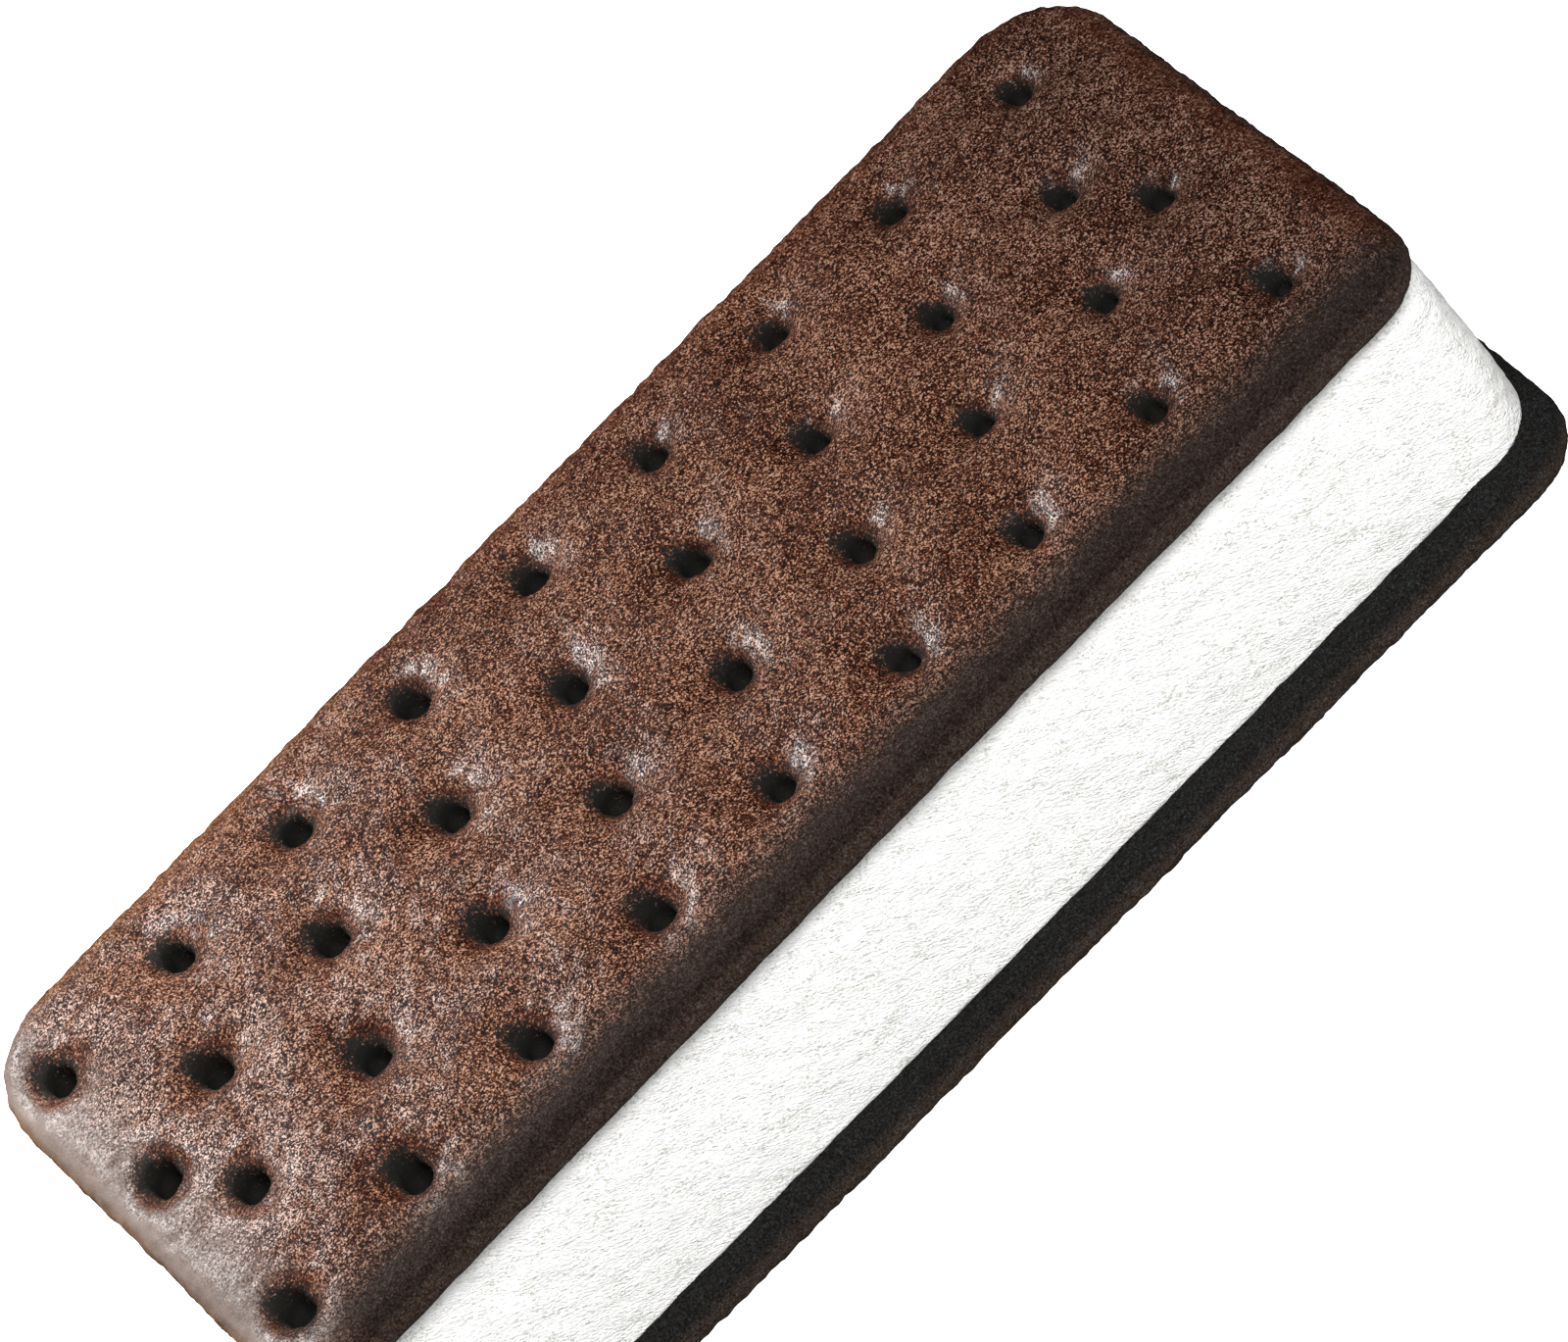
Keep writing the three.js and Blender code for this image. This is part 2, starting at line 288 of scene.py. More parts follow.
def roughen(piece, kind, grain, depth, group="", direction="NORMAL", mid_level=0.5,
            coords=None, **settings):
    """Displaces a piece by one of Blender's textures, whose features are about grain across."""
    texture = bpy.data.textures.new(f"{piece.name}_{kind.lower()}", kind)
    texture.noise_scale = grain
    for setting, value in settings.items():
        setattr(texture, setting, value)
    place = {"texture_coords": "LOCAL"}
    if coords:
        place = {"texture_coords": "OBJECT", "texture_coords_object": coords}
    apply_modifier(
        piece, "DISPLACE", texture=texture, strength=depth, vertex_group=group,
        direction=direction, mid_level=mid_level, **place)
    bpy.data.textures.remove(texture)


def merge_hidden_faces(piece, hidden):
    """Joins the faces of a region that nothing sees into one."""
    pick(piece)
    bpy.ops.object.mode_set(mode="EDIT")
    select_parts(piece, "FACE", hidden)
    bpy.ops.mesh.dissolve_faces()
    leave_edit_mode()


def finish_piece(piece, node, finish):
    """Gives a piece its material, hangs it on the body and hides the solid that it stands for."""
    pick(piece)
    bpy.ops.object.shade_smooth()
    piece.vertex_groups.clear()
    piece.data.materials.clear()
    piece.data.materials.append(finish)
    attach(piece, BODY)
    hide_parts(node)


# Materials


class Wire:
    """A socket of a material, so that its maths can be written as an expression."""

    def __init__(self, finish, socket):
        self.finish = finish
        self.socket = socket

    def maths(self, operation, first, second):
        return self.finish.node("Math", {"operation": operation}, {0: first, 1: second})

    def __add__(self, other):
        return self.maths("ADD", self, other)

    def __radd__(self, other):
        return self.maths("ADD", other, self)

    def __sub__(self, other):
        return self.maths("SUBTRACT", self, other)

    def __rsub__(self, other):
        return self.maths("SUBTRACT", other, self)

    def __mul__(self, other):
        return self.maths("MULTIPLY", self, other)

    def __rmul__(self, other):
        return self.maths("MULTIPLY", other, self)


class Finish:
    """A material that is built node by node on the piece's own coordinates, in millimetres."""

    def __init__(self, name):
        self.material = bpy.data.materials.new(name)
        self.material.use_nodes = True
        self.tree = self.material.node_tree
        self.tree.nodes.clear()
        place = self.node("TexCoord", output="Object")
        self.place = self.node(
            "VectorMath", {"operation": "SCALE"}, {"Vector": place, "Scale": 1 / MM})

    def node(self, kind, settings=None, inputs=None, output=None):
        """Adds a node: its settings come first, then the values or wires of its sockets."""
        made = self.tree.nodes.new("ShaderNode" + kind)
        for setting, value in (settings or {}).items():
            setattr(made, setting, value)
        for name, value in (inputs or {}).items():
            self.feed(self.find(made.inputs, name), value)
        return Wire(self, self.find(made.outputs, output or 0))

    def find(self, sockets, name):
        if isinstance(name, int):
            return [socket for socket in sockets if socket.enabled][name]
        return next(socket for socket in sockets if socket.enabled and socket.name == name)

    def feed(self, socket, value):
        if isinstance(value, Wire):
            self.tree.links.new(value.socket, socket)
        elif socket.type == "RGBA":
            socket.default_value = (*value, 1)
        else:
            socket.default_value = value

    def noise(self, per_mm, detail=2.0, roughness=0.5, place=None, shift=None):
        """Noise with so many features to the millimetre, 0.5 on average."""
        place = place or self.place
        if shift:
            place = self.node("VectorMath", {"operation": "ADD"}, {0: place, 1: shift})
        return self.node(
            "TexNoise", None,
            {"Vector": place, "Scale": per_mm, "Detail": detail, "Roughness": roughness})

    def cells(self, per_mm):
        """The distance to the nearest of scattered points, so many to the millimetre."""
        return self.node(
            "TexVoronoi", {"feature": "F1"}, {"Vector": self.place, "Scale": per_mm}, "Distance")

    def attribute(self, name):
        return self.node("Attribute", {"attribute_name": name}, output="Fac")

    def between(self, value, low, high):
        """0 below low, 1 above high, smooth between them."""
        return self.node(
            "MapRange", {"interpolation_type": "SMOOTHSTEP"},
            {"Value": value, "From Min": low, "From Max": high}, "Result")

    def at_most(self, value, limit, softness):
        """A value that levels off softly below a limit."""
        return self.node(
            "Math", {"operation": "SMOOTH_MIN"}, {0: value, 1: limit, 2: softness})

    def mix(self, factor, first, second, blend="MIX"):
        """Mixes two colours."""
        return self.node(
            "Mix", {"data_type": "RGBA", "blend_type": blend},
            {"Factor": factor, "A": first, "B": second}, "Result")

    def bump(self, height, distance):
        return self.node("Bump", None, {"Height": height, "Distance": distance}, "Normal")

    def larger(self, first, second):
        return self.node("Math", {"operation": "MAXIMUM"}, {0: first, 1: second})

    def multiply(self, first, second):
        """One colour tinted by another."""
        return self.mix(1.0, first, second, "MULTIPLY")

    def toned(self, colour, stops):
        """A colour that is lighter or darker by so many stops, paler as it gets lighter."""
        channels = {}
        for number, (channel, pace) in enumerate(zip(colour, TONE_PACES)):
            gain = self.node("Math", {"operation": "POWER"}, {0: 2.0 ** pace, 1: stops})
            channels[number] = gain * channel
        return self.node("CombineColor", None, channels, "Color")

    def surface(self, **inputs):
        """The shader at the end, its sockets named with underscores for spaces."""
        sockets = {name.replace("_", " "): value for name, value in inputs.items()}
        shader = self.node("BsdfPrincipled", None, sockets, "BSDF")
        output = self.tree.nodes.new("ShaderNodeOutputMaterial")
        self.tree.links.new(shader.socket, output.inputs["Surface"])
        return self.material


# Marks that are noted on a wafer's points for its colours
HOLE_REACH = "hole_reach"  # how many of the hole's radii the nearest docking hole is away
HOLE_SHADOW_REACH = "hole_shadow_reach"  # the same, with each hole drawn out towards the key light, where its painted shadow trails
SIDE_DEPTH = "side_depth"  # millimetres that a point on the rim or the side lies below the face
RIM_INSET = "rim_inset"  # millimetres from a point to the wafer's outline
LEFT_INSET = "left_inset"  # millimetres from a point to the wafer's left end
MARKS = (HOLE_REACH, HOLE_SHADOW_REACH, SIDE_DEPTH, RIM_INSET, LEFT_INSET)

TONE_PACES = (1.0, 1.43, 1.72)  # how fast red, green and blue change with a colour's tone
UPPER_RIM_SHADE_AND_LIGHT = (  # the near rim's dark shoulder, painted shade, then bands down the side, partly painted light from below, with the depths where each takes over
    (0.0125, 0.0092, 0.0078),
    (1.9, 2.5, (0.0275, 0.0188, 0.0150)),
    (2.6, 4.4, (0.0510, 0.0375, 0.0305)),
)
# the lower wafer's side: lighter brown low down, painted light from the floor, and near black at
# the ledge beside the ice cream, painted shade and partly wet crust
LOWER_RIM_SHADE_AND_LIGHT = (
    (0.0500, 0.0370, 0.0300),
    (1.8, 4.3, (0.0080, 0.0083, 0.0080)),
)
PAINTED_HOLE_SHADE = (0.0058, 0.0064, 0.0058)  # painted shade: near black in the holes and on the shadowed side of their funnels
PAINTED_SHEEN_BAND = (0.097, 0.081, 0.073)  # painted sheen: the pale crust at the left end, where the key light glances off
PAINTED_SHEEN_RIM = (0.128, 0.104, 0.092)  # its rim, the palest painted sheen
LEFT_SIDE_LIGHT_AND_TAN = (0.135, 0.074, 0.040)  # and the browner side below, painted lighter as if lit, partly its tan edge line
TANNED = (0.088, 0.040, 0.017)  # the far rim towards the left end
RIGHT_END_SHADE = (0.74, 0.80, 0.90)  # painted shade: the crust darker towards the right end, away from the key light
RUDDY = (1.06, 0.92, 0.86)  # tints of single grains
OLIVE = (0.94, 1.06, 1.0)
# painted shade in the cream's creases
PAINTED_CREASE_SHADE = (0.42, 0.44, 0.36)
WRINKLE_TILT = math.radians(32)
WRINKLE_STRETCH = (2.6, 1.5, 1)


def tinted(colour, factor):
    return tuple(min(1, channel * factor) for channel in colour)


class CrustPattern:
    """The noises and masks that a wafer's colours share. Lengths are in millimetres.

    The last argument, from 0 to 1, paints a sheen on the left end as a pale band and makes it
    smooth.
    """

    def __init__(self, finish, sheen_and_tan):
        self.grain = finish.noise(6.2, detail=1.0, roughness=0.6)
        self.crumbs = finish.noise(2.7, detail=2.0, roughness=0.6, shift=(31, 7, 5))
        self.clumps = finish.noise(0.9, detail=2.0, shift=(3, 41, 11))
        self.patches = finish.noise(0.16, detail=3.0, roughness=0.6, shift=(17, 3, 29))
        self.along = finish.node("SeparateXYZ", None, {"Vector": finish.place}, "X")
        self.across = finish.node("SeparateXYZ", None, {"Vector": finish.place}, "Y")
        self.reach = finish.attribute(HOLE_REACH)
        self.left = finish.attribute(LEFT_INSET)
        self.depth = finish.attribute(SIDE_DEPTH) + (self.crumbs - 0.5) * 0.8
        # painted sheen: the pale band where the key light glances off the left end
        self.sheen_band = self.sheen_part(finish) * sheen_and_tan
        self.end = (1 - finish.between(self.left, 0.8, 3.5)) * sheen_and_tan
        self.texture = self.gritty_texture(finish)
        self.tone = self.crust_tone(finish)

    def sheen_part(self, finish):
        """1 in the painted sheen, a pale band along the left end, 0 in and round the holes."""
        left = self.left + (self.clumps - 0.5) * 2 + (self.patches - 0.5) * 6
        return (1 - finish.between(left, 2.0, 8.5)) * finish.between(self.reach, 1.4, 2.2)

    def gritty_texture(self, finish):
        """Light and dark grains, crumbs and pores, in stops of light."""
        pores = finish.noise(3.6, detail=1.0, roughness=0.6, shift=(5, 13, 47))
        pore = 1 - finish.between(pores, 0.37, 0.45)
        granules = 0.48 - finish.cells(5.2)
        grit = (self.grain - 0.5) * 16.0 + granules * 5.5 + (self.crumbs - 0.5) * 6.5
        return grit - pore * 3.4

    def crust_tone(self, finish):
        """The texture, calmer at the rim and round the holes, over soft clumps and patches."""
        inset = finish.attribute(RIM_INSET) + (self.clumps - 0.5) * 3
        coarse = finish.between(inset, 0.5, 5.0) * 0.6 + 0.4
        coarse = coarse * (1 - self.sheen_band * 0.6)
        ring = 1 - finish.between(self.reach, 1.25, 2.1)
        grit = self.texture * coarse * (1 - ring * 0.4)
        soft = (self.clumps - 0.5) * 2.7 + (self.patches - 0.5) * 3.2
        return grit + soft - ring * 0.6 + 0.15


def baked_colour(finish, pattern, crust, sheen_and_tan):
    """The crust's colour: duller at the right end, a painted shade away from the key light; tanned
    at the far rim, of two hues.
    """
    colour = finish.toned(crust, finish.at_most(pattern.tone, 2.2, 1.4))
    # painted shade: darker towards the right end, where the key light falls off
    right_end_shade = finish.mix(finish.between(pattern.along, 26.0, 56.0), (1, 1, 1), RIGHT_END_SHADE)
    colour = finish.multiply(colour, right_end_shade)
    far = finish.between(pattern.across + (pattern.clumps - 0.5) * 3, 22.5, 26.5)
    tan = far * (1 - finish.between(pattern.along, -45.0, -5.0)) * sheen_and_tan
    colour = finish.mix(tan * 0.7, colour, finish.toned(TANNED, pattern.texture * 0.3))
    hue = finish.between(finish.noise(4.6, detail=1.0, shift=(61, 3, 19)), 0.38, 0.62)
    return finish.multiply(colour, finish.mix(hue, RUDDY, OLIVE))


def sheen_colour(finish, pattern, colour):
    """The left end: a painted sheen as a pale band, a paler rim, and a browner side below it,
    painted lighter as if lit and partly a tan edge.
    """
    pale = finish.toned(PAINTED_SHEEN_BAND, pattern.texture * 0.16)
    rim = finish.between(pattern.depth, 0.2, 1.7) * pattern.end
    colour = finish.mix(pattern.sheen_band * 0.85, colour, finish.mix(rim, pale, PAINTED_SHEEN_RIM))
    side = finish.between(pattern.depth, 1.7, 2.7) * pattern.end
    return finish.mix(side * 0.85, colour, LEFT_SIDE_LIGHT_AND_TAN)


def rim_shade(finish, pattern, shade_and_light_bands):
    """1 on the near rim and down the sides, where the bands of painted shade and light of the rim
    show.
    """
    wander = (pattern.clumps - 0.5) * 3 + (pattern.crumbs - 0.5) * 2.5
    # the near side, turned away from the key light, takes the painted shade
    near = 1 - finish.between(pattern.across + wander, -24.8, -19.2)
    shallow, deep, _ = shade_and_light_bands[1]
    side = finish.between(pattern.depth, shallow, deep)
    return finish.larger(near, side) * (1 - pattern.sheen_band)


def rim_colour(finish, pattern, shade_and_light_bands):
    """The bands of painted shade and light down the rim, with a little of the crust's texture."""
    rim, *bands = shade_and_light_bands
    for shallow, deep, band in bands:
        rim = finish.mix(finish.between(pattern.depth, shallow, deep), rim, band)
    return finish.multiply(rim, finish.toned((1, 1, 1), pattern.texture * 0.2))


def wafer_finish(name, crust, shade_and_light_bands, sheen_and_tan):
    """Baked cocoa crust: crisp light and dark grains over soft patches, with painted shade in the
    holes.
    """
    finish = Finish(name)
    pattern = CrustPattern(finish, sheen_and_tan)
    grain = pattern.grain
    crumbs = pattern.crumbs
    colour = baked_colour(finish, pattern, crust, sheen_and_tan)
    # painted sheen and painted light on the left end
    colour = sheen_colour(finish, pattern, colour)
    shade = rim_shade(finish, pattern, shade_and_light_bands)
    # painted shade and painted light on the rim
    colour = finish.mix(shade * 0.95, colour, rim_colour(finish, pattern, shade_and_light_bands))
    # painted shade: the holes, and the funnel side towards the key light, go near black as if in
    # shadow
    hole_shadow = finish.attribute(HOLE_SHADOW_REACH) + (crumbs - 0.5) * 1.2 + (grain - 0.5) * 0.8
    painted_hole_shadow = 1 - finish.between(hole_shadow, 0.85, 1.45)
    colour = finish.mix(painted_hole_shadow * 0.96, colour, PAINTED_HOLE_SHADE)
    gloss = finish.between(pattern.tone, -2.0, 1.0) * (1 - shade) * (1 - painted_hole_shadow)
    glaze = (1 - finish.between(pattern.reach, 1.8, 3.3)) * (1 - painted_hole_shadow)
    glaze = glaze * finish.between(grain, 0.36, 0.6)
    glaze = glaze * (0.3 + finish.between(pattern.left, 8.0, 45.0) * 0.7)
    relief = (grain * 0.3 + crumbs * 0.7) * (0.3 + finish.between(pattern.reach, 1.4, 3.5) * 0.7)
    return finish.surface(
        Base_Color=colour,
        Roughness=0.7 + shade * 0.2 + painted_hole_shadow * 0.2 - gloss * 0.4,
        Normal=finish.bump(relief, 0.08 * MM),
        Specular_IOR_Level=0.046,
        Coat_Weight=glaze * 0.17,
        Coat_Roughness=0.3,
    )


def cream_finish(settings):
    """Frozen cream: nearly white, with short pale grey marks, painted shade in its wrinkles, which
    run down the block.
    """
    finish = Finish("frozen_cream")
    turned = finish.node(
        "Mapping", {"vector_type": "TEXTURE"},
        {"Vector": finish.place, "Rotation": (0, WRINKLE_TILT, 0), "Scale": WRINKLE_STRETCH},
        "Vector")
    wrinkle = finish.noise(5.2, detail=2.0, roughness=0.65, place=turned)
    specks = finish.noise(4.2, detail=2.0, roughness=0.65, shift=(9, 27, 3))
    crystals = finish.noise(7.0, detail=2.0)
    folds = finish.noise(0.9, detail=3.0, roughness=0.6, place=turned)
    clusters = finish.noise(0.45, detail=2.0)
    off_fold = finish.node("Math", {"operation": "ABSOLUTE"}, {0: folds - 0.5})
    fold = 1 - finish.between(off_fold, 0.0, 0.09)
    # painted shade: pale grey marks along the folds, where creases would be shaded
    painted_crease = (1 - finish.between(specks - fold * 0.13, 0.30, 0.41)) * (
        0.3 + 0.7 * finish.between(clusters, 0.38, 0.58))
    colour = finish.mix(painted_crease * 0.62, tuple(settings.cream), PAINTED_CREASE_SHADE)
    return finish.surface(
        Base_Color=colour,
        Roughness=0.42 + crystals * 0.25,
        Normal=finish.bump(wrinkle * 0.85 + crystals * 0.15, 0.23 * MM),
        Subsurface_Weight=0.1,
        Subsurface_Radius=(1.0, 0.9, 0.75),
        Subsurface_Scale=0.5 * MM,
    )


# The wafers

BAKED_CORNERS = {  # radius of each upright corner, by its side in x and in y
    (1, 1): 8.7 * MM,
    (1, -1): 5.8 * MM,
    (-1, 1): 8.1 * MM,
    (-1, -1): 7.0 * MM,
}
FIRST_HOLE = Vector((50.9, 17.53)) * MM
HOLE_ROWS = ((8, 0), (8, 1), (8, 2), (9, 0))  # holes in each row, and its step in thirds of a pitch
END_HOLES = (Vector((50.8, -1.8)) * MM, Vector((-55.1, 1.35)) * MM, Vector((-55.2, 18.0)) * MM)
# the way towards the key light along which each hole's painted shadow trails, and how far it trails
HOLE_SHADOW_WAY = Vector((-0.52, 0.85)).normalized()
HOLE_SHADOW_STRETCH = 1.5
PATTERN_TURN = 0.0107
PATTERN_BOW = 1.05 * MM
GROWTH_MIDDLE = 4 * MM  # where a hole has the radius that the settings give
GROWTH_LENGTH = 0.5
PIN_TAPER = 0.8  # how much narrower a hole is at its foot
PUFF_REACH = 7 * MM
CRUST_SKIN = 0.2 * MM  # how far below its top a point still counts as on the baked face
HOLE_SKIN = 1.0 * MM  # the same at a hole, where the face has sunk
HOLE_HEART = 0.6 * MM  # how near a hole's axis the points are that pull the crust down
CALM_FROM = -38 * MM  # further left than this the dimples get shallower
CALM_OVER = 36 * MM
CALM_LEAST = 0.5
COARSE = 0.8 * MM
FINE = 0.41 * MM
HIDDEN_INSET = 4.5 * MM
HIDDEN_SKIN = 1.0 * MM
LIP_HEIGHT = 2.6 * MM
DROOP_EDGE = 1.0 * MM
CRUST_TILT = -0.3  # the crust reaches round the rim to where it faces away by this much
INNER_CRUST = 0.15  # how rough the inner face is beside it
UPPER_WAVES = {"waves": 0.4 * MM, "bumps": 0.35 * MM}
LOWER_WAVES = {"waves": 0.2 * MM, "bumps": 0.8 * MM}
UPPER_SEED = 7
LOWER_SEED = 23


def hole_places(settings):
    """Where the docking holes are, from the wafer's middle."""
    half = settings.length / 2
    places = []
    for row, (count, thirds) in enumerate(HOLE_ROWS):
        for number in range(count):
            x = FIRST_HOLE.x - (number + thirds / 3) * settings.hole_pitch
            y = FIRST_HOLE.y - row * settings.row_spacing + PATTERN_BOW * (1 - (x / half) ** 2)
            places.append(Vector((x - PATTERN_TURN * y, y + PATTERN_TURN * x)))
    return places + list(END_HOLES)


def pit_radii(place, settings):
    """A docking hole's radii along and across the wafer: the holes are wider further left."""
    right = (place.x - GROWTH_MIDDLE) / GROWTH_LENGTH
    radius = settings.pit_radius * (1 - settings.pit_growth * right)
    return Vector((radius / settings.pit_stretch, radius * settings.pit_stretch))


def round_wafer(settings, puff, flip):
    """A bar with four different corners, a softly rounded baked rim and a tight inner rim.

    A wafer that is turned over later has its near and far corners the other way round.
    """
    half = Vector((settings.length / 2, settings.width / 2, 0))
    top = settings.thickness - puff
    wafer = add_block("docked_wafer", -half, half + Vector((0, 0, top)))
    bpy.ops.object.mode_set(mode="EDIT")
    for (side_x, side_y), radius in BAKED_CORNERS.items():
        round_corner(wafer, (side_x * half.x, side_y * flip * half.y), radius)
    round_rim(wafer, top, settings.baked_edge, 8)
    round_rim(wafer, 0, settings.inner_edge, 3)
    remesh(wafer, COARSE)
    return wafer


def puff_and_dimple(wafer, settings, puff, chance):
    """Raises the baked face and draws the crust down round each docking hole."""
    top = settings.thickness - puff
    inset = PUFF_REACH + settings.baked_edge
    inner = Vector((settings.length / 2 - inset, settings.width / 2 - inset))
    bpy.ops.object.mode_set(mode="EDIT")
    select_parts(
        wafer, "VERT",
        lambda vert: vert.co.z > top - CRUST_SKIN
        and abs(vert.co.x) < inner.x and abs(vert.co.y) < inner.y)
    pull((0, 0, puff), PUFF_REACH, "SMOOTH")
    for place in hole_places(settings):
        select_parts(
            wafer, "VERT",
            lambda vert: vert.co.z > top - HOLE_SKIN
            and (vert.co.xy - place).length < HOLE_HEART)
        pull((0, 0, -settings.pillow_depth), settings.hole_pitch / 2, "SMOOTH")
        calm = min(1, max(CALM_LEAST, 1 + (place.x - CALM_FROM) / CALM_OVER))
        depth = settings.dimple_depth * calm * chance.uniform(0.85, 1.12)
        reach = settings.dimple_radius * chance.uniform(0.92, 1.1)
        pull((0, 0, -depth), reach, "SHARP")
    leave_edit_mode()


def punch_holes(wafer, settings, chance):
    """Cuts the docking holes with copies of one tapered pin."""
    top = settings.thickness
    depth = settings.pit_depth
    bpy.ops.object.select_all(action="DESELECT")
    bpy.ops.mesh.primitive_cylinder_add(
        vertices=24, radius=1, depth=depth, location=(0, 0, top - depth / 2))
    pin = bpy.context.active_object
    bpy.ops.object.mode_set(mode="EDIT")
    select_parts(pin, "FACE", lambda face: face.normal.z < -0.9)
    bpy.ops.transform.resize(value=(PIN_TAPER, PIN_TAPER, 1))
    leave_edit_mode()
    pins = []
    for place in hole_places(settings):
        pick(pin)
        bpy.ops.object.duplicate()
        copy = bpy.context.active_object
        radii = pit_radii(place, settings) * chance.uniform(0.95, 1.06)
        copy.location = (place.x, place.y, copy.location.z)
        copy.scale = (radii.x, radii.y, 1)
        pins.append(copy)
    bpy.data.objects.remove(pin)
    pick(*pins)
    bpy.ops.object.join()
    cutter = bpy.context.active_object
    bpy.ops.object.transform_apply(location=True, rotation=True, scale=True)
    apply_modifier(wafer, "BOOLEAN", operation="DIFFERENCE", solver="MANIFOLD", object=cutter)
    bpy.data.objects.remove(cutter)


def mark_points(wafer, settings):
    """Notes where each point lies from the holes and the rim, for the crust's colours."""
    places = hole_places(settings)
    tree = KDTree(len(places))
    for number, place in enumerate(places):
        tree.insert(place.to_3d(), number)
    tree.balance()
    for name in MARKS:
        wafer.data.attributes.new(name, "FLOAT", "POINT")
    marks = {name: wafer.data.attributes[name].data for name in MARKS}
    half = Vector((settings.length / 2, settings.width / 2))
    for number, vertex in enumerate(wafer.data.vertices):
        x, y, z = vertex.co
        nearest, distance = tree.find((x, y, 0))[1:]
        near_hole = distance < settings.dimple_radius
        away = Vector((x, y)) - places[nearest]
        radii = pit_radii(places[nearest], settings)
        marks[HOLE_REACH][number].value = Vector((away.x / radii.x, away.y / radii.y)).length
        # each hole drawn out towards the key light, where its painted shadow reaches
        shadow_trail = max(0, away.dot(HOLE_SHADOW_WAY))
        away -= HOLE_SHADOW_WAY * shadow_trail * (1 - 1 / HOLE_SHADOW_STRETCH)
        marks[HOLE_SHADOW_REACH][number].value = Vector((away.x / radii.x, away.y / radii.y)).length
        marks[SIDE_DEPTH][number].value = 0 if near_hole else (settings.thickness - z) / MM
        marks[RIM_INSET][number].value = min(half.x - abs(x), half.y - abs(y)) / MM
        marks[LEFT_INSET][number].value = (half.x + x) / MM


def is_near_rim(place, settings):
    return (abs(place.x) > settings.length / 2 - HIDDEN_INSET
            or abs(place.y) > settings.width / 2 - HIDDEN_INSET)


def crumble(wafer, up, waves, bumps, settings):
    """Makes a wafer uneven: slow waves along its sides, pillowy lumps and a crumbly crust.

    Its baked face looks up where up is 1 and down where up is -1.
    """
    inner = min(up * vertex.co.z for vertex in wafer.data.vertices)
    face = make_group(wafer, "face", lambda vertex: max(0, up * vertex.normal.z) ** 2)
    side = make_group(wafer, "side", lambda vertex: 1 - abs(vertex.normal.z))
    lip = make_group(
        wafer, "lip",
        lambda vertex: (1 - abs(vertex.normal.z))
        * max(0, 1 - (up * vertex.co.z - inner) / LIP_HEIGHT))
    crust = make_group(
        wafer, "crust",
        lambda vertex: 1 if up * vertex.normal.z > CRUST_TILT else INNER_CRUST)
    ledge = make_group(
        wafer, "ledge",
        lambda vertex: max(0, -up * vertex.normal.z) if is_near_rim(vertex.co, settings) else 0)
    roughen(wafer, "CLOUDS", grain=15 * MM, depth=waves, group=side, noise_depth=0)
    roughen(wafer, "CLOUDS", grain=3.2 * MM, depth=0.5 * MM, group=lip, noise_depth=1)
    roughen(
        wafer, "CLOUDS", grain=2.4 * MM, depth=bumps, group=ledge, mid_level=0.42,
        noise_depth=2)
    roughen(
        wafer, "CLOUDS", grain=6 * MM, depth=0.7 * MM * up, group=face, direction="Z",
        noise_depth=1)
    roughen(wafer, "CLOUDS", grain=1.3 * MM, depth=0.26 * MM, group=crust, noise_depth=2)
    roughen(wafer, "STUCCI", grain=0.8 * MM, depth=0.18 * MM, group=crust)


def hidden_inside(wafer, up, settings):
    """A test for the faces of a wafer that lie against the ice cream, away from its rim."""
    inner = min(up * vertex.co.z for vertex in wafer.data.vertices)
    xs = [vertex.co.x for vertex in wafer.data.vertices]
    middle = (min(xs) + max(xs)) / 2
    half_x = settings.length / 2 - HIDDEN_INSET
    half_y = settings.width / 2 - HIDDEN_INSET

    def test(face):
        centre = face.calc_center_median()
        inwards = -up * face.normal.z > 0.9 and up * centre.z < inner + HIDDEN_SKIN
        return inwards and abs(centre.x - middle) < half_x and abs(centre.y) < half_y

    return test


